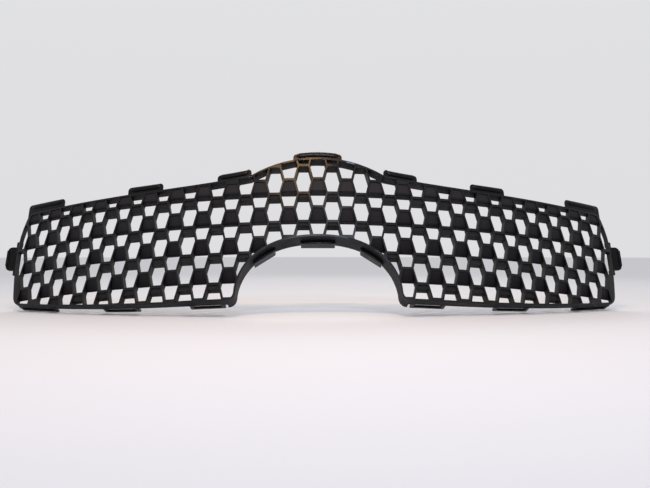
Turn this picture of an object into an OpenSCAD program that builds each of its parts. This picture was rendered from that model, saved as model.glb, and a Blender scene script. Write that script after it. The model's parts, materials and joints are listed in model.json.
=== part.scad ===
// Front grille insert: a one-sided honeycomb moulding with a rim, clip tabs, loops and two snap hooks.
// The shape is laid out flat as (s, z), where s runs along the bent face and z runs up it.
// Everything is then bent round a vertical cylinder, cut along the mould's draw direction (Y),
// and leaned back to the attitude it has in the nose of the car. All lengths are millimetres.

/* [Overall form] */
// Radius of the face in plan
plan_r = 920; // [800:10:1200]
// Lean of the whole grille, top towards the car, in degrees
lean = 20; // [0:1:25]
// Depth of the honeycomb walls and the rim at the centre line, along the draw
wall_depth = 20; // [14:1:26]
// Radius of the back in plan, larger than the face's because the grille gets shallower at its ends
back_r = 1000; // [920:10:1060]
// Thickness of the rim as seen from the front
rim_t = 2.6; // [2:0.1:4]

/* [Outline] */
// Height of the crown's top edge above the badge line
crown_z = 127.5; // [115:0.5:135]
// Radius of the crown arc
crown_r = 178; // [170:1:260]
// Half the width of the crown arc
crown_half = 91; // [80:1:95]
// Height of the top edge far from the crown
shoulder_z = 86.5; // [80:0.5:92]
// Height of the bottom edge beside the badge arch
bottom_z = -74; // [-80:1:-68]
// Rise of the bottom edge at the ends
bottom_rise = 15.5; // [8:0.5:20]
// Half the length along the face, at the widest height
end_half = 454.5; // [440:0.5:470]
// Half the width of the badge arch
arch_a = 108; // [95:1:115]
// Height of the badge arch above the bottom edge
arch_b = 86; // [75:1:92]
// Squareness of the arch, where 2 is an ellipse
arch_n = 2.25; // [2:0.05:2.6]
// Depth of the arch flange, along the draw
arch_depth = 33; // [24:1:40]

/* [Honeycomb] */
// Spacing of neighbouring columns along the face
column = 19.5; // [18:0.5:22]
// Height of one cell, rib to rib
row = 41.5; // [38:0.5:44]
// Height of the cross rib above the first row of cells
first_rib = 93.5; // [90:0.5:97]
// Length of a cross rib, corner to corner
rib_len = 14.3; // [12:0.1:17]
// Thickness of a cross rib
rib_t = 3.6; // [2.4:0.2:4.4]
// Thickness of a slanted wall
web_t = 2.4; // [1.8:0.2:3]

/* [Louvres] */
// Height of a louvre's lower edge above the middle of its cell
louvre_low = 3.5; // [1:0.5:6]
// Depth of the louvre's upper edge behind the face
louvre_top_in = 1.5; // [1:0.5:3]
// Thickness of a louvre's panel and shelf
louvre_t = 2; // [1.6:0.2:3]

/* [Fixings] */
// Thickness of the upright top tabs
tab_t = 2.6; // [2:0.2:4]
// Height of the top tabs above the rim
tab_h = 18; // [12:1:22]
// Thickness of the loops below the rim
loop_t = 3.4; // [2:0.2:4]
// Opening of a loop, front to back
loop_gap = 11.5; // [8:0.5:14]
// Width of the bar that closes a loop
loop_bar = 5.6; // [4:0.2:8]
// Thickness of the pads inside the badge arch
pad_t = 4.2; // [3:0.2:6]
// Diameter of the round root that a side hook flexes about
root_d = 5; // [4:0.2:6]
// Gap between a hook and the end post's ears
play = 0.4; // [0.3:0.05:0.6]

/* [Hidden] */
$fn = 96;

black = "#1b1a1c";
panel_black = "#242226";

// Middle of the leaned part, front to back, behind the face at the badge line
stand_y = 63.24;
// Distance along the face where the crown mesh meets the wing meshes
zone_s = 117;
// Height that clears the whole part, for cutting blocks
tall = 400;
// Depth that clears the bent face
deep = 240;
// Columns on each side of the centre line
side_columns = 23;
// Cell rows, from the pockets under the crown to the bottom
rows = [-1:5];
// Depth of the lower edge of the louvre panels behind the face, one for each row
louvre_foot = [2, 2, 9, 14, 15];
// Radii of the outline's corners
top_corner_r = 14;
bottom_corner_r = 16;
arch_corner_r = 11;
// Directions, in degrees, at which the corner arcs meet the end curve and the bottom edge
top_corner_end = 21;
bottom_corner_start = -10;
bottom_corner_end = -81;
// Height of the widest point, and how fast the ends draw in above and below it
wide_z = 28;
end_draw_up = 0.0043;
end_draw_down = 0.0014;
// Distance along the face where the bottom edge starts to rise, and over which it rises
rise_from = 180;
rise_span = 220;
// How fast the shoulders settle from the crown, and by how much
shoulder_drop = 16;
shoulder_len = 85;
// Least height of a cell that is opened where the rim cuts it
least_cell = 7;
// How much the row spacing shrinks towards the ends, over what distance, and about what height
row_draw = 0.033;
row_draw_span = 250;
row_centre = 15;
// How far the rows lift at the centre line, and how far out the lift reaches
crown_lift = 2.5;
crown_lift_span = 120;
// How far the louvres of each row shorten by the ends
louvre_rise = [0, 2, 3, 6, 5.5];
// Depth of a lip's front behind the face, its drop at the centre line, and how much more it drops
// over what distance
lip_in = 2;
lip_drop = 3.5;
lip_more = 2.2;
lip_span = 200;
// How far a lip runs up into its rib
lip_sink = 1;
// Extra reach of a lip or a louvre, as a share of the depth that the walls have lost
cover_share = 0.42;
// Half width of the widest part of a cell
wide_half = column - rib_len / 2;
top_half = rib_len / 2;

// Centre and half width of the fixings along the face
tab_places = [[0, 34], [116, 24], [246, 27], [413.5, 34]];
loop_places = [[146, 24], [268, 27], [406, 34]];
pad_places = [[0, 23], [71, 14]];
// The hooks sit a little above the middle of the end posts
hook_z = 22;
hook_half = 18;
hook_reach = 14;
hook_t = 3.2;
ear_h = 7;
// How far an ear runs in from the hook's root to meet the end post
ear_in = 3.3;
// Clear space between the end post and a hook's root
root_gap = 0.5;
// Length of a pad along the draw
pad_run = 18;
// Radius of a tab's upper corners
tab_r = 5;
// How far a tab's or a pad's outline runs into the rim before it is cut to the rim's own outline
root_sink = 4;

// ---- the outline, as functions of the distance along the face ----

function crown(s) = crown_z - crown_r + sqrt(crown_r * crown_r - s * s);
function shoulder(s) = shoulder_z + shoulder_drop * exp(-(s - crown_half) / shoulder_len);
function top_at(s) = abs(s) < crown_half ? crown(s) : shoulder(abs(s));
function bottom_at(s) = bottom_z + bottom_rise * pow(max(0, abs(s) - rise_from) / rise_span, 2);
function end_draw(z) = z > wide_z ? end_draw_up : end_draw_down;
function end_at(z) = end_half - end_draw(z) * (z - wide_z) * (z - wide_z);
function arch_s(a, t) = (arch_a + t) * pow(cos(a), 2 / arch_n);
function arch_z(a, t) = bottom_z + (arch_b + t) * pow(sin(a), 2 / arch_n);
function arch_top(s) = abs(s) > arch_a ? bottom_z
    : bottom_z + arch_b * pow(1 - pow(abs(s) / arch_a, arch_n), 1 / arch_n);

// Bends a flat (s, z) point, or a list of them, round the plan radius
function bend(s) = plan_r * sin(s / plan_r * 180 / PI);
function bent(points) = [for (p = points) [bend(p[0]), p[1]]];
// How far the face and the back of the walls lie behind the badge line's face, and the walls' depth
function face_y(x) = plan_r - sqrt(plan_r * plan_r - x * x);
function back_y(x) = wall_depth + back_r - sqrt(back_r * back_r - x * x);
function depth_at(s) = back_y(bend(s)) - face_y(bend(s));
function flip(points) = [for (p = points) [-p[0], p[1]]];
function back(points) = [for (i = [len(points) - 1:-1:0]) points[i]];
function arc(c, r, from, to, n) =
    [for (i = [0:n]) let (a = from + (to - from) * i / n) [c[0] + r * cos(a), c[1] + r * sin(a)]];

top_corner_z = shoulder(end_half) - top_corner_r;
top_corner_s = end_at(top_corner_z + top_corner_r * sin(top_corner_end))
    - top_corner_r * cos(top_corner_end);
bottom_corner_z = bottom_at(end_half - 20) + bottom_corner_r;
bottom_corner_s = end_at(bottom_corner_z) - bottom_corner_r;
arch_corner_z = bottom_z + arch_corner_r;
arch_start = 7;
arch_corner_s = arch_s(arch_start, 0) + arch_corner_r;

// The right half of the outline in four stretches, moved inwards by t
function crown_half_path(t) = [for (i = [0:8]) let (s = crown_half * i / 8) [s, crown(s) - t]];
function shoulder_path(t) =
    [for (i = [1:12]) let (s = crown_half + (top_corner_s - crown_half) * i / 12) [s, top_at(s) - t]];
function top_half_path(t) = concat(crown_half_path(t), shoulder_path(t));
function end_path(t) = concat(
    arc([top_corner_s, top_corner_z], top_corner_r - t, 90, top_corner_end, 5),
    [for (z = [66:-13:-25]) [end_at(z) - t, z]],
    arc([bottom_corner_s, bottom_corner_z], bottom_corner_r - t, bottom_corner_start, bottom_corner_end, 6)
);
function bottom_path(t) = concat(
    [end_path(t)[len(end_path(t)) - 1]],
    [for (s = [410:-23:arch_corner_s + 20]) [s, bottom_at(s) + t]],
    [[arch_corner_s, bottom_z + t]]
);
function arch_half_path(t) = concat(
    arc([arch_corner_s, arch_corner_z], arch_corner_r - t, 270, 185, 5),
    [for (a = [arch_start + 3:4:86]) [arch_s(a, t), arch_z(a, t)]],
    [[0, arch_z(90, t)]]
);
function half_path(t) = concat(top_half_path(t), end_path(t), bottom_path(t), arch_half_path(t));
function whole_path(t) = concat(half_path(t), back(flip(half_path(t))));
function band(path_out, path_in) = bent(concat(path_out, back(path_in)));

// ---- shared building modules ----

// Space between the face and a copy of it moved back: from y0 to y1 behind the face
module bent_slab(y0, y1, r0 = plan_r, r1 = plan_r) {
    difference() {
        translate([0, r0 + y0, -tall / 2]) cylinder(r = r0, h = tall, $fn = 256);
        translate([0, r1 + y1, -tall / 2 - 1]) cylinder(r = r1, h = tall + 2, $fn = 256);
    }
}

// Draws a flat shape through the bent slab, along the mould's draw direction
module drawn(y0, y1) {
    intersection() {
        translate([0, deep, 0]) rotate([90, 0, 0]) linear_extrude(deep + 10) children();
        bent_slab(y0, y1);
    }
}

// The same, from y0 behind the face to the back of the walls
module drawn_through(y0) {
    intersection() {
        translate([0, deep, 0]) rotate([90, 0, 0]) linear_extrude(deep + 10) children();
        bent_slab(y0, wall_depth, plan_r, back_r);
    }
}

// The same, measured from the back of the walls
module drawn_behind(y0, y1) {
    intersection() {
        translate([0, deep, 0]) rotate([90, 0, 0]) linear_extrude(deep + 10) children();
        bent_slab(wall_depth + y0, wall_depth + y1, back_r, back_r);
    }
}

// Leans the part back, as it sits on the car, and stands it on the ground at the origin
module leaned() {
    translate([0, -stand_y, stand_z]) rotate([-lean, 0, 0]) children();
}

// ---- the honeycomb ----

// Even columns have a cross rib at first_rib, and odd columns lie half a row lower
function is_even_column(c) = c % 2 == 0;
// The rows draw a little closer together towards the ends, and lift a little under the crown
function row_pitch(s) = row * (1 - row_draw * min(1, abs(s) / row_draw_span));
function row_lift(s) = crown_lift * max(0, 1 - abs(s) / crown_lift_span);
function cell_z(c, r) = let (
    s = c * column,
    pitch = row_pitch(s),
    steps = is_even_column(c) ? r - 0.5 : r
) row_centre + (first_rib - row_centre) * pitch / row - pitch * steps + row_lift(s);
function cell_open(s, z) = z - row / 2 + least_cell < top_at(s) - rim_t
    && z + row / 2 - least_cell > bottom_at(s) + rim_t
    && z + row / 2 - least_cell > arch_top(s) + rim_t
    && abs(s) < end_at(z) - rim_t;

web_slope = (wide_half - top_half) / (row / 2);
web_in = web_t / 2 * sqrt(1 + web_slope * web_slope);
function half_width(dz) = wide_half - web_slope * abs(dz) - web_in;

// A strip right across a cell and into its slanted walls, from z0 to z1 measured from its middle
function opening_wide(s, z, z0, z1) = let (a = half_width(z0) + web_in, b = half_width(z1) + web_in)
    bent([[s + a, z + z0], [s + b, z + z1], [s - b, z + z1], [s - a, z + z0]]);

// One opening, from z0 to z1 measured from the middle of the cell
function opening(s, z, z0, z1) = let (
    levels = z0 < 0 && z1 > 0 ? [z0, 0, z1] : [z0, z1]
) bent(concat(
    [for (d = levels) [s + half_width(d), z + d]],
    [for (d = back(levels)) [s - half_width(d), z + d]]
));

function reach(s) = row_pitch(s) / 2 - rib_t / 2;

// How much further down the lips and the louvres reach where the walls are shallower
function cover(s) = cover_share * (wall_depth - depth_at(s));

module cells(s0, s1) {
    for (c = [-side_columns:side_columns], r = rows) {
        s = c * column;
        z = cell_z(c, r);
        if (s > s0 - column && s < s1 + column && cell_open(s, z))
            polygon(opening(s, z, -reach(s), reach(s)));
    }
}

// The lips that hang from the cross ribs of the odd columns, set back behind the face
module lips(s0, s1) {
    for (c = [-side_columns:side_columns], r = [1:4]) {
        s = c * column;
        z = cell_z(c, r);
        drop = lip_drop + lip_more * min(1, abs(s) / lip_span) + cover(s);
        shown = !is_even_column(c) && cell_open(s, z) && abs(s) + wide_half < end_at(z) - rim_t
            && z + reach(s) < top_at(s) && z + reach(s) - drop > arch_top(s) + rim_t;
        if (s > s0 - column && s < s1 + column && shown)
            polygon(opening_wide(s, z, reach(s) - drop, reach(s) + lip_sink));
    }
}

module zone(s0, s1) {
    polygon([[bend(s0), -tall / 2], [bend(s1), -tall / 2], [bend(s1), tall / 2], [bend(s0), tall / 2]]);
}

module inside_rim(s0, s1) {
    intersection() {
        polygon(bent(whole_path(rim_t)));
        zone(s0, s1);
    }
}

module mesh(s0, s1) {
    color(black) leaned() {
        drawn_through(0) difference() {
            inside_rim(s0, s1);
            cells(s0, s1);
        }
        drawn_through(lip_in) intersection() {
            inside_rim(s0, s1);
            lips(s0, s1);
        }
    }
}

module left_mesh() { mesh(-end_half, -zone_s); }
module centre_mesh() { mesh(-zone_s, zone_s); }
module right_mesh() { mesh(zone_s, end_half); }

// ---- the louvres that close the upper half of the even columns ----

function louvre_foot_z(s, r) = louvre_low + louvre_rise[r] * abs(s) / end_half - cover(s);
function has_louvre(s, z) = cell_open(s, z)
    && z + louvre_low + 5 < top_at(s) - rim_t
    && z + louvre_low - 2 > bottom_at(s) + rim_t
    && z + louvre_low + 6 > arch_top(s) + rim_t
    && abs(s) < end_at(z) - wide_half / 2;

// A louvre's side view, squeezed by f to lie square to the bent face: a panel that slopes in from
// under the rib, then a shelf to depth. A louvre that the badge arch cuts has no shelf.
function louvre_profile(foot, low, top, depth, f, shelf) = let (
    slope = (foot - louvre_top_in) / (top - low),
    across = louvre_t * sqrt(1 + slope * slope),
    lip = [foot + across, low + louvre_t]
) concat(
    [[louvre_top_in * f, top], [foot * f, low]],
    shelf ? [[depth * f, low], [depth * f, lip[1]]] : [[lip[0] * f, low]],
    shelf ? [[(lip[0] - slope * louvre_t) * f, lip[1]]] : [],
    [[(louvre_top_in + across) * f, top]]
);

module louvre(s, z, r) {
    top = reach(s);
    low = louvre_foot_z(s, r);
    turn = s / plan_r * 180 / PI;
    depth = depth_at(abs(s) + wide_half);
    foot = louvre_top_in + (louvre_foot[r] - louvre_top_in) * depth / wall_depth;
    shelf = z + low > arch_top(max(0, abs(s) - wide_half)) + rim_t;
    intersection() {
        translate([0, deep, 0]) rotate([90, 0, 0]) linear_extrude(deep + 10) intersection() {
            polygon(bent(whole_path(rim_t)));
            polygon(opening(s, z, low, top));
        }
        translate([bend(s), plan_r - plan_r * cos(turn), z]) rotate([0, 0, turn])
            rotate([90, 0, 90]) linear_extrude(2 * column, center = true)
                polygon(louvre_profile(foot, low, top, depth, cos(turn), shelf));
    }
}

module louvres(r, s0, s1) {
    color(panel_black) leaned() for (c = [-side_columns:side_columns]) {
        s = c * column;
        z = cell_z(c, r);
        if (is_even_column(c) && s > s0 && s < s1 && has_louvre(s, z)) louvre(s, z, r);
    }
}

module crown_louvres() {
    for (r = [0:3]) louvres(r, -zone_s + 1, zone_s - 1);
}
module left_louvres_row_1() { louvres(1, -end_half, -zone_s + 1); }
module left_louvres_row_2() { louvres(2, -end_half, -zone_s + 1); }
module left_louvres_row_3() { louvres(3, -end_half, -zone_s + 1); }
module left_louvres_row_4() { louvres(4, -end_half, -zone_s + 1); }
module right_louvres_row_1() { louvres(1, zone_s - 1, end_half); }
module right_louvres_row_2() { louvres(2, zone_s - 1, end_half); }
module right_louvres_row_3() { louvres(3, zone_s - 1, end_half); }
module right_louvres_row_4() { louvres(4, zone_s - 1, end_half); }

// ---- the rim ----

module top_rail() {
    outer = concat(back(flip(top_half_path(0))), top_half_path(0));
    inner = concat(back(flip(top_half_path(rim_t))), top_half_path(rim_t));
    color(black) leaned() drawn_through(0) polygon(band(outer, inner));
}

module bottom_rail() {
    leaned() drawn_through(0) polygon(band(bottom_path(0), bottom_path(rim_t)));
}
module right_bottom_rail() { color(black) bottom_rail(); }
module left_bottom_rail() { color(black) mirror([1, 0, 0]) bottom_rail(); }

module badge_arch() {
    outer = concat(arch_half_path(0), back(flip(arch_half_path(0))));
    inner = concat(arch_half_path(rim_t), back(flip(arch_half_path(rim_t))));
    color(black) leaned() drawn(0, arch_depth) polygon(band(outer, inner));
}

// The part stands on the back edges of its end loops, a quarter of the way along them
foot_s = loop_places[2][0] - (loop_places[2][1] - loop_bar) / 2;
foot_y = back_y(bend(foot_s)) + loop_gap + loop_bar;
stand_z = foot_y * sin(lean) - bottom_at(foot_s) * cos(lean);

// Where a hook's root lies: just outside the end post's widest place, near the back of the rim
root_x = bend(end_half) + root_d / 2 + root_gap;
root_y = back_y(root_x) - root_d / 2;

module end_post() {
    leaned() {
        drawn_through(0) polygon(band(end_path(0), end_path(rim_t)));
        for (side = [-1, 1]) ear(side);
    }
}

// One of the two lugs that carry a hook's root
module ear(side) {
    z0 = hook_z + side * (hook_half + play + ear_h / 2) - ear_h / 2;
    translate([root_x, root_y, z0]) {
        cylinder(d = root_d, h = ear_h);
        translate([-root_d / 2 - ear_in, -root_d / 2, 0]) cube([root_d / 2 + ear_in, root_d, ear_h]);
    }
}
module right_end_post() { color(black) end_post(); }
module left_end_post() { color(black) mirror([1, 0, 0]) end_post(); }

// ---- the fixings ----

// Cuts a fixing's root to the rim's own outline, so that the two meet face to face
module against_rim() {
    difference() {
        children();
        polygon(bent(whole_path(0)));
    }
}

// An upright tongue at the back of the rim, with rounded upper corners
module top_tab(place) {
    s0 = place[0] - place[1];
    s1 = place[0] + place[1];
    n = 8;
    steps = [for (i = [0:n]) s0 + (s1 - s0) * i / n];
    outline = concat(
        [for (s = steps) [s, top_at(s) - root_sink]],
        arc([s1 - tab_r, top_at(s1) + tab_h - tab_r], tab_r, 0, 90, 4),
        back([for (i = [1:n - 1]) [steps[i], top_at(steps[i]) + tab_h]]),
        arc([s0 + tab_r, top_at(s0) + tab_h - tab_r], tab_r, 90, 180, 4)
    );
    drawn_behind(-tab_t, 0) against_rim() polygon(bent(outline));
}

module centre_top_tab() { color(black) leaned() top_tab(tab_places[0]); }
module right_inner_top_tab() { color(black) leaned() top_tab(tab_places[1]); }
module right_mid_top_tab() { color(black) leaned() top_tab(tab_places[2]); }
module right_end_top_tab() { color(black) leaned() top_tab(tab_places[3]); }
module left_inner_top_tab() { color(black) leaned() mirror([1, 0, 0]) top_tab(tab_places[1]); }
module left_mid_top_tab() { color(black) leaned() mirror([1, 0, 0]) top_tab(tab_places[2]); }
module left_end_top_tab() { color(black) leaned() mirror([1, 0, 0]) top_tab(tab_places[3]); }

// A strip of the bottom edge, loop_t thick, between two distances along the face
module bottom_strip(s0, s1) {
    n = 4;
    low = [for (i = [0:n]) let (s = s0 + (s1 - s0) * i / n) [s, bottom_at(s)]];
    polygon(band(low, [for (p = low) [p[0], p[1] + loop_t]]));
}

module loop(place) {
    s0 = place[0] - place[1];
    s1 = place[0] + place[1];
    y1 = loop_gap + loop_bar;
    union() {
        drawn_behind(0, y1) bottom_strip(s0, s0 + loop_bar);
        drawn_behind(0, y1) bottom_strip(s1 - loop_bar, s1);
        drawn_behind(loop_gap, y1) bottom_strip(s0 + loop_bar, s1 - loop_bar);
    }
}

module right_inner_loop() { color(black) leaned() loop(loop_places[0]); }
module right_mid_loop() { color(black) leaned() loop(loop_places[1]); }
module right_end_loop() { color(black) leaned() loop(loop_places[2]); }
module left_inner_loop() { color(black) leaned() mirror([1, 0, 0]) loop(loop_places[0]); }
module left_mid_loop() { color(black) leaned() mirror([1, 0, 0]) loop(loop_places[1]); }
module left_end_loop() { color(black) leaned() mirror([1, 0, 0]) loop(loop_places[2]); }

// A flat land inside the badge arch, where the badge carrier bears
module arch_pad(place) {
    s0 = place[0] - place[1];
    s1 = place[0] + place[1];
    root = [for (i = [0:6]) let (s = s0 + (s1 - s0) * i / 6) [s, arch_top(s) + root_sink]];
    drop = pad_t * sqrt(1 + pow((arch_top(s1) - arch_top(s0)) / (s1 - s0), 2));
    face = [[s1, arch_top(s1) - drop], [s0, arch_top(s0) - drop]];
    drawn(arch_depth - pad_run, arch_depth) against_rim() polygon(bent(concat(root, face)));
}
module centre_arch_pad() { color(black) leaned() arch_pad(pad_places[0]); }
module right_arch_pad() { color(black) leaned() arch_pad(pad_places[1]); }
module left_arch_pad() { color(black) leaned() mirror([1, 0, 0]) arch_pad(pad_places[1]); }

// The side hook: a round root that flexes, a tongue and a hooked lip
module snap_hook() {
    leaned() translate([root_x, root_y, hook_z - hook_half]) {
        cylinder(d = root_d, h = 2 * hook_half);
        translate([0, root_d / 2 - hook_t, 0]) hook_tongue();
    }
}
module hook_tongue() {
    r = 6;
    reach = hook_reach;
    face = concat(
        [[0, 0]],
        arc([reach - r, r], r, 270, 360, 5),
        arc([reach - r, 2 * hook_half - r], r, 0, 90, 5),
        [[0, 2 * hook_half]]
    );
    translate([0, hook_t, 0]) rotate([90, 0, 0]) linear_extrude(hook_t) polygon(face);
    translate([reach - 3, -2.4, r]) cube([3, 2.4, 2 * hook_half - 2 * r]);
}
module right_snap_hook() { color(black) snap_hook(); }
module left_snap_hook() { color(black) mirror([1, 0, 0]) snap_hook(); }

left_mesh();
centre_mesh();
right_mesh();
crown_louvres();
left_louvres_row_1();
left_louvres_row_2();
left_louvres_row_3();
left_louvres_row_4();
right_louvres_row_1();
right_louvres_row_2();
right_louvres_row_3();
right_louvres_row_4();
top_rail();
left_bottom_rail();
right_bottom_rail();
badge_arch();
left_end_post();
right_end_post();
centre_top_tab();
left_inner_top_tab();
left_mid_top_tab();
left_end_top_tab();
right_inner_top_tab();
right_mid_top_tab();
right_end_top_tab();
left_inner_loop();
left_mid_loop();
left_end_loop();
right_inner_loop();
right_mid_loop();
right_end_loop();
centre_arch_pad();
left_arch_pad();
right_arch_pad();
left_snap_hook();
right_snap_hook();
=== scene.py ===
# %% [markdown]
# # A moulded front grille
#
# The real object is one injection moulding: a bent honeycomb of thin webs, louvre panels inside the
# cells, a rim, and the tabs, loops and hooks that snap into the bumper. The imported CAD model holds its
# exact sizes, so this script only has to give each piece what a mould gives plastic: rounded edges,
# flow marks in the gloss, and surfaces that are polished in one place and grained in another.

# %% Load the frame
import json
import math

import bmesh
import bpy
from mathutils import Matrix, Vector
from mathutils.bvhtree import BVHTree


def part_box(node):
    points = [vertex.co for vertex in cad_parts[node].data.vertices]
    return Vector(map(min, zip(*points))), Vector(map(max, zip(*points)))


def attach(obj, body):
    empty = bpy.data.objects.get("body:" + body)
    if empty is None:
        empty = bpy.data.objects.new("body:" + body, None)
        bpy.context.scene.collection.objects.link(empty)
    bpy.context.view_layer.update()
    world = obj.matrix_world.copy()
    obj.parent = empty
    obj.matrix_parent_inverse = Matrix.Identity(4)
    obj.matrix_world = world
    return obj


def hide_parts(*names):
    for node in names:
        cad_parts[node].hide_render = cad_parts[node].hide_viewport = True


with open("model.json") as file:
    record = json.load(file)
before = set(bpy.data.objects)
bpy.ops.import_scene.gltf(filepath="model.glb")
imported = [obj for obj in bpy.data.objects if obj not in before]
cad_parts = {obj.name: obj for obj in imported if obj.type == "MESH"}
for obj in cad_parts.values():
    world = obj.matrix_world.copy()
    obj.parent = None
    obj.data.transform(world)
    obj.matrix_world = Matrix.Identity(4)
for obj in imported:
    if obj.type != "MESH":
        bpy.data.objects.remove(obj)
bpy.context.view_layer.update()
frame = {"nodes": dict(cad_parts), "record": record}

# %% [markdown]
# The CAD is in metres, but a mould maker thinks in millimetres. One constant turns one into the other,
# and one function turns a paint chart's hex colour into the linear values that a shader expects.
# The mould opens straight back through the leaning grille, so two directions are named once: rearwards
# along the mould's draw, and upwards along the face.

# %% Units and colours
MM = 0.001
LEAN = math.radians(20)
REARWARDS = Vector((0, math.cos(LEAN), -math.sin(LEAN)))
UPWARDS = Vector((0, math.sin(LEAN), math.cos(LEAN)))


def linear(code):
    """An sRGB hex colour as linear red, green, blue and alpha."""
    channels = [int(code[i:i + 2], 16) / 255 for i in (1, 3, 5)]
    return [c / 12.92 if c <= 0.04045 else ((c + 0.055) / 1.055) ** 2.4 for c in channels] + [1.0]


def add_node(tree, kind, settings, links=None):
    """Adds a shader node. Settings go to its sockets or its attributes, and links feed its sockets."""
    node = tree.nodes.new(kind)
    for name, value in settings.items():
        if name in node.inputs:
            node.inputs[name].default_value = value
        else:
            setattr(node, name, value)
    for name, source in (links or {}).items():
        tree.links.new(source, node.inputs[name])
    return node


print("deep black in linear light:", [round(c, 4) for c in linear("#1b1a1d")])

# %% [markdown]
# ## The plastic
#
# ABS coloured black in the mass is the usual choice for an unpainted grille. Its look is set by the
# steel it was pressed against: polished steel leaves a gloss with a faint orange peel, and
# spark-eroded steel leaves a fine matte grain. All the finishes below share one recipe with different
# values: a grain that bumps the surface, slow flow marks that vary the gloss, and convex edges that
# are a little paler in colour.

# %% The recipe for moulded ABS
ABS_IOR = 1.53
BUMP_STRENGTH = 0.6
# Pointiness is 0.5 on a flat face and rises on a convex edge. The paler edge colour starts at the first
# value and is full at the second, where the third value says how much of it shows.
PALE_EDGE_STARTS, PALE_EDGE_FULL = 0.53, 0.62
PALE_EDGE_MOST = 0.8
# Noise hardly ever leaves this range, so it is stretched from it to the whole spread of gloss.
NOISE_LOW, NOISE_HIGH = 0.3, 0.7


def moulded_abs(name, colour, edge_colour, roughness, spread, grain_mm, grain_depth_mm, flow_mm, shine):
    """Black moulded ABS. roughness is the middle value, and spread is how far flow marks move it."""
    material = bpy.data.materials.new(name)
    material.use_nodes = True
    tree = material.node_tree
    tree.nodes.clear()
    place = add_node(tree, "ShaderNodeTexCoord", {})
    grain = add_node(tree, "ShaderNodeTexNoise",
                     {"Scale": 1 / (grain_mm * MM), "Detail": 3.0, "Roughness": 0.6},
                     {"Vector": place.outputs["Object"]})
    flow = add_node(tree, "ShaderNodeTexNoise",
                    {"Scale": 1 / (flow_mm * MM), "Detail": 2.0, "Distortion": 0.6},
                    {"Vector": place.outputs["Object"]})
    gloss = add_node(tree, "ShaderNodeMapRange",
                     {"From Min": NOISE_LOW, "From Max": NOISE_HIGH,
                      "To Min": roughness - spread, "To Max": roughness + spread},
                     {"Value": flow.outputs["Fac"]})
    bump = add_node(tree, "ShaderNodeBump",
                    {"Strength": BUMP_STRENGTH, "Distance": grain_depth_mm * MM},
                    {"Height": grain.outputs["Fac"]})
    shape = add_node(tree, "ShaderNodeNewGeometry", {})
    edge = add_node(tree, "ShaderNodeMapRange",
                    {"From Min": PALE_EDGE_STARTS, "From Max": PALE_EDGE_FULL, "To Max": PALE_EDGE_MOST},
                    {"Value": shape.outputs["Pointiness"]})
    # Convex edges are mixed towards the paler edge colour, by Pointiness.
    tint = add_node(tree, "ShaderNodeMix", {"data_type": "RGBA"}, {"Factor": edge.outputs["Result"]})
    for socket, value in zip([s for s in tint.inputs if s.type == "RGBA"], (colour, edge_colour)):
        socket.default_value = linear(value)
    colour_out = [s for s in tint.outputs if s.type == "RGBA"][0]
    plastic = add_node(tree, "ShaderNodeBsdfPrincipled", {"IOR": ABS_IOR, "Specular IOR Level": shine},
                       {"Base Color": colour_out, "Roughness": gloss.outputs["Result"],
                        "Normal": bump.outputs["Normal"]})
    add_node(tree, "ShaderNodeOutputMaterial", {}, {"Surface": plastic.outputs["BSDF"]})
    print(name, "roughness", roughness, "grain", grain_mm, "mm")
    return material


# %% [markdown]
# The front edges of the mesh and the rim were pressed against polished steel, so they shine. The deep
# walls behind them slid along the steel as the mould opened, which drags them dull. The louvre panels
# have the matte spark-eroded grain that hides them behind the mesh. The clips are satin, as nobody sees
# them once the grille is fitted. A real spark-eroded grain is about 0.1 mm wide, which is too fine to
# show, so it is drawn about six times as coarse. The last value is how strongly the finish mirrors.

# %% The finishes
# The second colour of each finish is the paler colour of its convex edges.
POLISHED = moulded_abs("polished moulded ABS", "#0a090a", "#171518", 0.20, 0.10, 1.6, 0.006, 45, 0.24)
DRAGGED = moulded_abs("draw-dragged moulded ABS", "#0a0a0b", "#18181a", 0.60, 0.07, 0.9, 0.05, 35, 0.16)
GRAINED = moulded_abs("spark-eroded moulded ABS", "#171518", "#211f22", 0.66, 0.05, 0.6, 0.09, 60, 0.16)
SEMI_GLOSS = moulded_abs("semi-gloss moulded ABS", "#090a0d", "#1a1b20", 0.22, 0.08, 1.2, 0.01, 50, 0.22)
SATIN = moulded_abs("satin moulded ABS", "#08080a", "#161518", 0.30, 0.07, 0.9, 0.02, 30, 0.13)
FINISHES = {"mesh": POLISHED, "louvre": GRAINED, "rim": SEMI_GLOSS, "clip": SATIN}
SLOT_OF = {part["node"]: part["material_slot"] for part in frame["record"]["subparts"]}

# %% [markdown]
# ## Rounded edges
#
# No moulded edge is sharp: the cutter that made the steel leaves a small radius, and molten plastic
# doesn't fill a knife edge. Each piece is a copy of its CAD solid. Its flat stretches are joined into
# single faces, and a Bevel modifier rounds the edges that stand free. Where two pieces meet they are
# one plastic on the real grille, so an edge on such a joint stays sharp and the seam stays closed.

# %% Find where two pieces touch
TOUCH = 0.30 * MM
NUDGE = 0.08 * MM
INSIDE = -0.5


def all_faces():
    """One search tree of every CAD face, and the node that each face belongs to."""
    points, faces, owners = [], [], []
    for name, node in frame["nodes"].items():
        first = len(points)
        points += [vertex.co.copy() for vertex in node.data.vertices]
        for face in node.data.polygons:
            faces.append([first + i for i in face.vertices])
            owners.append(name)
    return BVHTree.FromPolygons(points, faces), owners


tree_of_faces, owner_of_face = all_faces()


def inside_neighbour(point, own):
    """True if the point lies just inside the plastic of some other piece."""
    for place, normal, index, distance in tree_of_faces.find_nearest_range(point, TOUCH):
        if owner_of_face[index] != own and (point - place).dot(normal) < INSIDE * distance:
            return True
    return False


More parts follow.
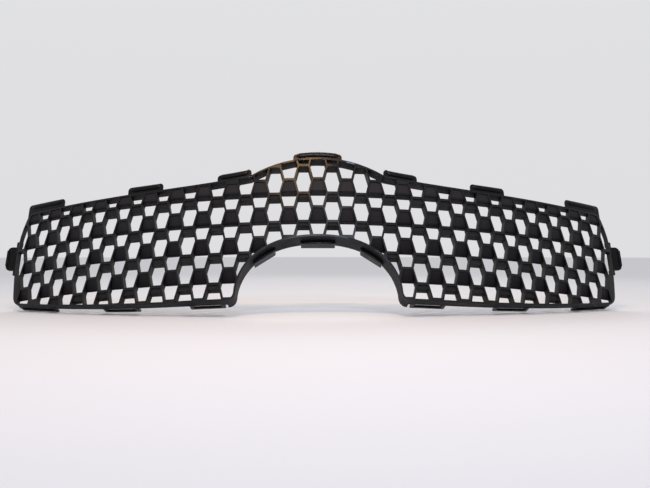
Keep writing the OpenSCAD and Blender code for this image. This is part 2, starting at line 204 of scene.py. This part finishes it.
def on_a_joint(edge, own):
    """True if one of the edge's two faces lies against another piece."""
    middle = (edge.verts[0].co + edge.verts[1].co) / 2
    for face, other in (edge.link_faces, reversed(edge.link_faces)):
        if inside_neighbour(middle - face.normal * TOUCH / 2 + other.normal * NUDGE, own):
            return True
    return False


print("faces to search:", len(owner_of_face))

# %% [markdown]
# The bevel takes its edges from weights, so the test above decides edge by edge. Slight angles are the
# facets of a curve, and stay as they are. The shading is smooth across them and breaks only at a real
# corner. A louvre's lower edge, where the panel turns back into its shelf, rolls over in a larger
# radius than the rest, so it gets the full weight and the other edges get a share of it.

# %% Choose the edges to round
SAME_POINT = 0.01 * MM
FLAT = math.radians(0.6)
CORNER = math.radians(35)
CURVE = math.radians(22)
LOOKS_FORWARD = -0.4
LOOKS_DOWN = -0.9


def rolls_over(edge):
    """True for an edge between a face that looks forwards and one that looks down."""
    for face, other in (edge.link_faces, reversed(edge.link_faces)):
        if face.normal.dot(REARWARDS) < LOOKS_FORWARD and other.normal.dot(UPWARDS) < LOOKS_DOWN:
            return True
    return False


def weigh_edges(form, own, share):
    """Gives the free sharp edges their bevel weights: 1 on a roll-over and a share of it elsewhere."""
    weight = form.edges.layers.float.new("bevel_weight_edge")
    free = 0
    for edge in form.edges:
        if len(edge.link_faces) == 2 and edge.calc_face_angle() > CORNER and not on_a_joint(edge, own):
            edge[weight] = 1.0 if rolls_over(edge) else share
            free += 1
    return free


print("rounded if free and sharper than", round(math.degrees(CORNER)), "degrees")

# %% [markdown]
# The mesh and the rim need three finishes on one piece, so their faces are sorted by the way they look.
# A face that looks forwards at the very front is polished. One that looks forwards but stands back is
# the lip under a cross rib, and is grained like the louvres. All others are walls.
#
# The face is bent, so how deep a corner lies behind it depends on where across the grille the corner
# is. The depth is worked out from the plan radius of the bend and the place where the badge line meets
# the face.

# %% Sort the faces of the mesh and the rim
PLAN_RADIUS = 920 * MM
BADGE_HEIGHT = 94.392 * MM
FACE_OFFSET = 63.24 * MM
LIP_DEPTH = 1.0 * MM
SQUARE_ON = -0.8
WALLED = ("mesh", "rim")


def depth_of(point):
    """How far a point lies behind the bent front face, along the draw."""
    y = point.y + FACE_OFFSET
    z = point.z - BADGE_HEIGHT
    along = y * math.cos(LEAN) - z * math.sin(LEAN)
    return along - (PLAN_RADIUS - math.sqrt(PLAN_RADIUS ** 2 - point.x ** 2))


def sort_faces(form):
    """Material 0 on the front edges, 1 on the walls and 2 on the lips."""
    for face in form.faces:
        looks_forward = face.normal.dot(REARWARDS) < SQUARE_ON
        stands_back = depth_of(face.verts[0].co) > LIP_DEPTH
        face.material_index = (2 if stands_back else 0) if looks_forward else 1


badge_point = Vector((0, -FACE_OFFSET, BADGE_HEIGHT))
print("the badge line's middle lies", round(depth_of(badge_point) / MM, 3), "mm behind the face")

# %% [markdown]
# Every piece has to say which body it moves with and which of the record's finishes it takes. The
# record lists both, so nothing is typed twice: the hooks ride on their own bodies, and the rest rides
# on the moulding.

# %% Give a piece its finish and its body
def body_of_node(name):
    """The CAD body that a node belongs to."""
    return [body for body, nodes in frame["record"]["behaviour"]["bodies"].items() if name in nodes][0]


def finish_as(piece, node):
    """Gives a piece the finish of a CAD node, and lets it ride on the node's body."""
    slot = SLOT_OF[node]
    piece.data.materials.append(FINISHES[slot])
    if slot in WALLED:
        piece.data.materials.append(DRAGGED)
        piece.data.materials.append(GRAINED)
    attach(piece, body_of_node(node))


print("finishes by slot:", {slot: finish.name for slot, finish in FINISHES.items()})

# %% [markdown]
# A bevel could be cut into the mesh by hand, but a modifier keeps the flat CAD faces readable and lets
# the radius be changed in one place. The copy is welded first, because an edge can only be rounded
# when its two faces share it.

# %% Make a rounded copy of a node
def weld(name, share):
    """A copy of a node's mesh with shared corners and whole flat faces, and its number of free edges."""
    mesh = frame["nodes"][name].data.copy()
    mesh.materials.clear()
    form = bmesh.new()
    form.from_mesh(mesh)
    bmesh.ops.remove_doubles(form, verts=form.verts, dist=SAME_POINT)
    bmesh.ops.dissolve_limit(form, angle_limit=FLAT, verts=form.verts, edges=form.edges)
    form.normal_update()
    free = weigh_edges(form, name, share)
    for face in form.faces:
        face.smooth = True
        face.material_index = 0
    if SLOT_OF[name] in WALLED:
        sort_faces(form)
    form.to_mesh(mesh)
    form.free()
    mesh.set_sharp_from_angle(angle=CURVE)
    return mesh, free


def rounded(name, radius_mm, share, steps):
    """A piece that stands for a CAD node, with its free edges rounded."""
    mesh, free = weld(name, share)
    piece = bpy.data.objects.new(name + "_moulded", mesh)
    bpy.context.scene.collection.objects.link(piece)
    bevel = piece.modifiers.new("mould radius", "BEVEL")
    bevel.limit_method = "WEIGHT"
    bevel.width = radius_mm * MM
    bevel.segments = steps
    bevel.miter_outer = "MITER_ARC"
    bevel.use_clamp_overlap = True
    bevel.harden_normals = True
    finish_as(piece, name)
    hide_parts(name)
    print(name, "free edges:", free)


# %% [markdown]
# ## The pieces
#
# The webs are thin, so their radius is small. The louvre panels roll over at their lower edge in a
# larger radius, which is what fades them from charcoal into black. The tabs and hooks have the
# easy radii of parts that have to slide into a slot.

# %% Round every piece
RADIUS_MM = {"mesh": 0.7, "louvre": 4.0, "rim": 0.8, "clip": 0.9}
SHARE = {"mesh": 1.0, "louvre": 0.2, "rim": 1.0, "clip": 1.0}
STEPS = {"mesh": 2, "louvre": 6, "rim": 2, "clip": 3}

for node_name in sorted(frame["nodes"]):
    slot_name = SLOT_OF[node_name]
    rounded(node_name, RADIUS_MM[slot_name], SHARE[slot_name], STEPS[slot_name])

# %% [markdown]
# ## The beads on the tabs
#
# Each upright tab snaps behind a ledge, and a broad bead across its front does the holding. A flat
# plate can't catch anything, and it wouldn't catch the light either: the bead's upper half faces the
# sky and its lower half faces away from it.
#
# The bead has to follow the tab's top edge, which curves and climbs. The tab's own CAD mesh says where
# that edge is, because a ray dropped from above finds it at any place along the tab. The tab's corners
# are round, so near its ends the edge is carried on in a straight line instead.

# %% Find a tab's top edge
WALL_DEPTH = 20 * MM
BACK_RADIUS = 1000 * MM
TAB_THICK = 2.6 * MM
ROUND_END = 7 * MM
HIGH_ABOVE = 300 * MM


def from_draw(x, ahead, z):
    """The point at x across, ahead of the back of the walls and z above the badge line."""
    y = WALL_DEPTH + BACK_RADIUS - math.sqrt(BACK_RADIUS ** 2 - x ** 2) - ahead
    flat = x * Vector((1, 0, 0)) + y * REARWARDS + z * UPWARDS
    return flat + Vector((0, -FACE_OFFSET, BADGE_HEIGHT))


def top_edge(name):
    """A function that gives the height of a tab's top edge above the badge line at any x."""
    data = frame["nodes"][name].data
    surface = BVHTree.FromPolygons([v.co for v in data.vertices],
                                   [list(p.vertices) for p in data.polygons])
    low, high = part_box(name)
    first, last = low.x + ROUND_END, high.x - ROUND_END

    def dropped(x):
        return HIGH_ABOVE - surface.ray_cast(from_draw(x, TAB_THICK / 2, HIGH_ABOVE), -UPWARDS)[3]

    slope = (dropped(last) - dropped(first)) / (last - first)

    def height(x):
        inner = min(max(x, first), last)
        return dropped(inner) + slope * (x - inner)

    return height


print("centre tab's top above the badge line:", round(top_edge("centre_top_tab")(0.0) / MM, 1), "mm")

# %% [markdown]
# The bead is a row of half-oval rings joined by faces. The rings shrink at both ends, so that the bead
# fades into the plate as a cutter would leave it, and their flat sides are sunk a little into the
# plate, so that no gap can show.

# %% Sweep a bead along each tab
BEAD_HIGH = 3.6 * MM
BEAD_OUT = 2.1 * MM
BEAD_DOWN = 4.4 * MM
BEAD_INSET = 3.0 * MM
BEAD_SUNK = 0.2 * MM
BEAD_STEPS = 20
BEAD_SIDES = 10
FADE_STEPS = 2.5
FADE_LEAST = 0.02
BEAD_CORNER = math.radians(50)


def bead_rings(form, name):
    """The corner points of a bead, ring by ring along the tab."""
    low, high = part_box(name)
    height = top_edge(name)
    rings = []
    for i in range(BEAD_STEPS + 1):
        x = low.x + BEAD_INSET + (high.x - low.x - 2 * BEAD_INSET) * i / BEAD_STEPS
        middle = height(x) - BEAD_DOWN
        nearest_end = min(i, BEAD_STEPS - i) / FADE_STEPS
        fade = math.sin(math.pi * min(1, max(FADE_LEAST, nearest_end)) / 2)
        ring = []
        for k in range(BEAD_SIDES + 1):
            turn = math.pi * (k / BEAD_SIDES - 0.5)
            out = BEAD_OUT * fade * math.cos(turn) - BEAD_SUNK
            up = BEAD_HIGH * fade * math.sin(turn)
            ring.append(form.verts.new(from_draw(x, TAB_THICK + out, middle + up)))
        rings.append(ring)
    return rings


def bead(name):
    """A half-oval ridge across the front of a tab, closed at both ends."""
    form = bmesh.new()
    rings = bead_rings(form, name)
    for ring, other in zip(rings, rings[1:]):
        for k in range(BEAD_SIDES + 1):
            j = (k + 1) % (BEAD_SIDES + 1)
            form.faces.new((ring[k], other[k], other[j], ring[j]))
    form.faces.new(rings[0])
    form.faces.new(reversed(rings[-1]))
    bmesh.ops.recalc_face_normals(form, faces=form.faces)
    for face in form.faces:
        face.smooth = True
    mesh = bpy.data.meshes.new(name + "_bead")
    form.to_mesh(mesh)
    form.free()
    mesh.set_sharp_from_angle(angle=BEAD_CORNER)
    piece = bpy.data.objects.new(name + "_bead", mesh)
    bpy.context.scene.collection.objects.link(piece)
    finish_as(piece, name)


tabs = [name for name in sorted(frame["nodes"]) if name.endswith("top_tab")]
for tab in tabs:
    bead(tab)
print("beads:", len(tabs))

# %% [markdown]
# ## The studio
#
# A plain pale floor runs out to a pale sky of light, so nothing but soft brightness is mirrored in
# the black plastic. The floor could be a curved sweep of paper, as product studios use, but a wide flat
# disc works from every side.

# %% The floor
FLOOR_RADIUS = 12.0
FLOOR_SIDES = 96
PAPER_ROUGHNESS = 0.9


def floor():
    """A plain pale floor under the grille's feet."""
    mesh = bpy.data.meshes.new("floor")
    form = bmesh.new()
    bmesh.ops.create_circle(form, cap_ends=True, radius=FLOOR_RADIUS, segments=FLOOR_SIDES)
    form.to_mesh(mesh)
    form.free()
    ground = bpy.data.objects.new("studio_floor", mesh)
    bpy.context.scene.collection.objects.link(ground)
    paper = bpy.data.materials.new("matte paper sweep")
    paper.use_nodes = True
    surface = paper.node_tree.nodes["Principled BSDF"]
    surface.inputs["Base Color"].default_value = linear("#dcdcdf")
    surface.inputs["Roughness"].default_value = PAPER_ROUGHNESS
    mesh.materials.append(paper)


floor()
print("floor radius:", FLOOR_RADIUS, "m")

# %% [markdown]
# Black plastic shows its shape by what it mirrors. Two small softboxes in front, a warm one above a
# cool one, put the glints on the rounded front edges, and a large one lights the back. The face leans
# back 20 degrees, so its flat parts mirror what hangs about 40 degrees up. One lamp hangs higher than
# that and the other lower, which leaves the flat parts dark. A grid narrows each beam, so that the
# floor doesn't burn out.

# %% The lights
MIDDLE = Vector((0.0, -0.03, 0.11))


def softbox(name, at, size, power, colour, grid_deg):
    """A rectangular studio light with a grid in front that narrows its beam, aimed at the grille."""
    light = bpy.data.lights.new(name, "AREA")
    light.shape = "RECTANGLE"
    light.size, light.size_y = size
    light.energy = power
    light.spread = math.radians(grid_deg)
    light.color = linear(colour)[:3]
    lamp = bpy.data.objects.new(name, light)
    lamp.location = at
    lamp.rotation_euler = (MIDDLE - Vector(at)).to_track_quat("-Z", "Y").to_euler()
    bpy.context.scene.collection.objects.link(lamp)
    print(name, "power", power, "W")


softbox("warm softbox above", (-0.12, -0.85, 1.32), (0.34, 0.12), 1.7, "#ffc880", 80)
softbox("cool softbox in front", (0.08, -1.25, 0.90), (0.5, 0.10), 1.9, "#c8dcff", 80)
softbox("back softbox", (0.3, 1.6, 1.4), (1.0, 0.5), 2.2, "#ffffff", 110)

# %% [markdown]
# The sky is almost even, and only a little brighter overhead. An even sky gives soft light with hardly
# a shadow, and the slight climb gives upward faces a trace more light than upright ones. The view
# transform is the plain one, so the pale floor stays pale.

# %% The sky of light
SKY_LOW, SKY_HIGH = 0.80, 0.84
SKY_TOP_AT = 0.7

world = bpy.data.worlds.new("pale studio")
bpy.context.scene.world = world
world.use_nodes = True
sky_tree = world.node_tree
direction = add_node(sky_tree, "ShaderNodeTexCoord", {})
split = add_node(sky_tree, "ShaderNodeSeparateXYZ", {}, {"Vector": direction.outputs["Generated"]})
height = add_node(sky_tree, "ShaderNodeMapRange",
                  {"From Min": 0.0, "From Max": SKY_TOP_AT, "To Min": SKY_LOW, "To Max": SKY_HIGH,
                   "interpolation_type": "SMOOTHSTEP"},
                  {"Value": split.outputs["Z"]})
sky = sky_tree.nodes["Background"]
sky.inputs["Color"].default_value = linear("#f6f6f8")
sky_tree.links.new(height.outputs["Result"], sky.inputs["Strength"])
bpy.context.scene.view_settings.view_transform = "Standard"
print("sky strength:", SKY_LOW, "to", SKY_HIGH)

# %% [markdown]
# ## The camera
#
# The grille is seen square on and almost level, from a little under a metre away. Everything is
# sharp, so depth of field is off.

# %% The camera
LENS_MM = 38.8
SENSOR_MM = 36.0
NEAREST = 0.01
FURTHEST = 40
EYE = Vector((-0.0141, -0.9796, 0.0836))
LOOK_AT = Vector((0.0090, -0.0563, 0.0950))


def camera():
    """The camera, square on to the grille."""
    data = bpy.data.cameras.new("camera")
    data.lens = LENS_MM
    data.sensor_width = SENSOR_MM
    data.dof.use_dof = False
    data.clip_start = NEAREST
    data.clip_end = FURTHEST
    holder = bpy.data.objects.new("camera", data)
    turn = (LOOK_AT - EYE).to_track_quat("-Z", "Y").to_matrix().to_4x4()
    holder.matrix_world = Matrix.Translation(EYE) @ turn
    bpy.context.scene.collection.objects.link(holder)
    bpy.context.scene.camera = holder


camera()
print("camera to grille:", round((LOOK_AT - EYE).length, 3), "m")
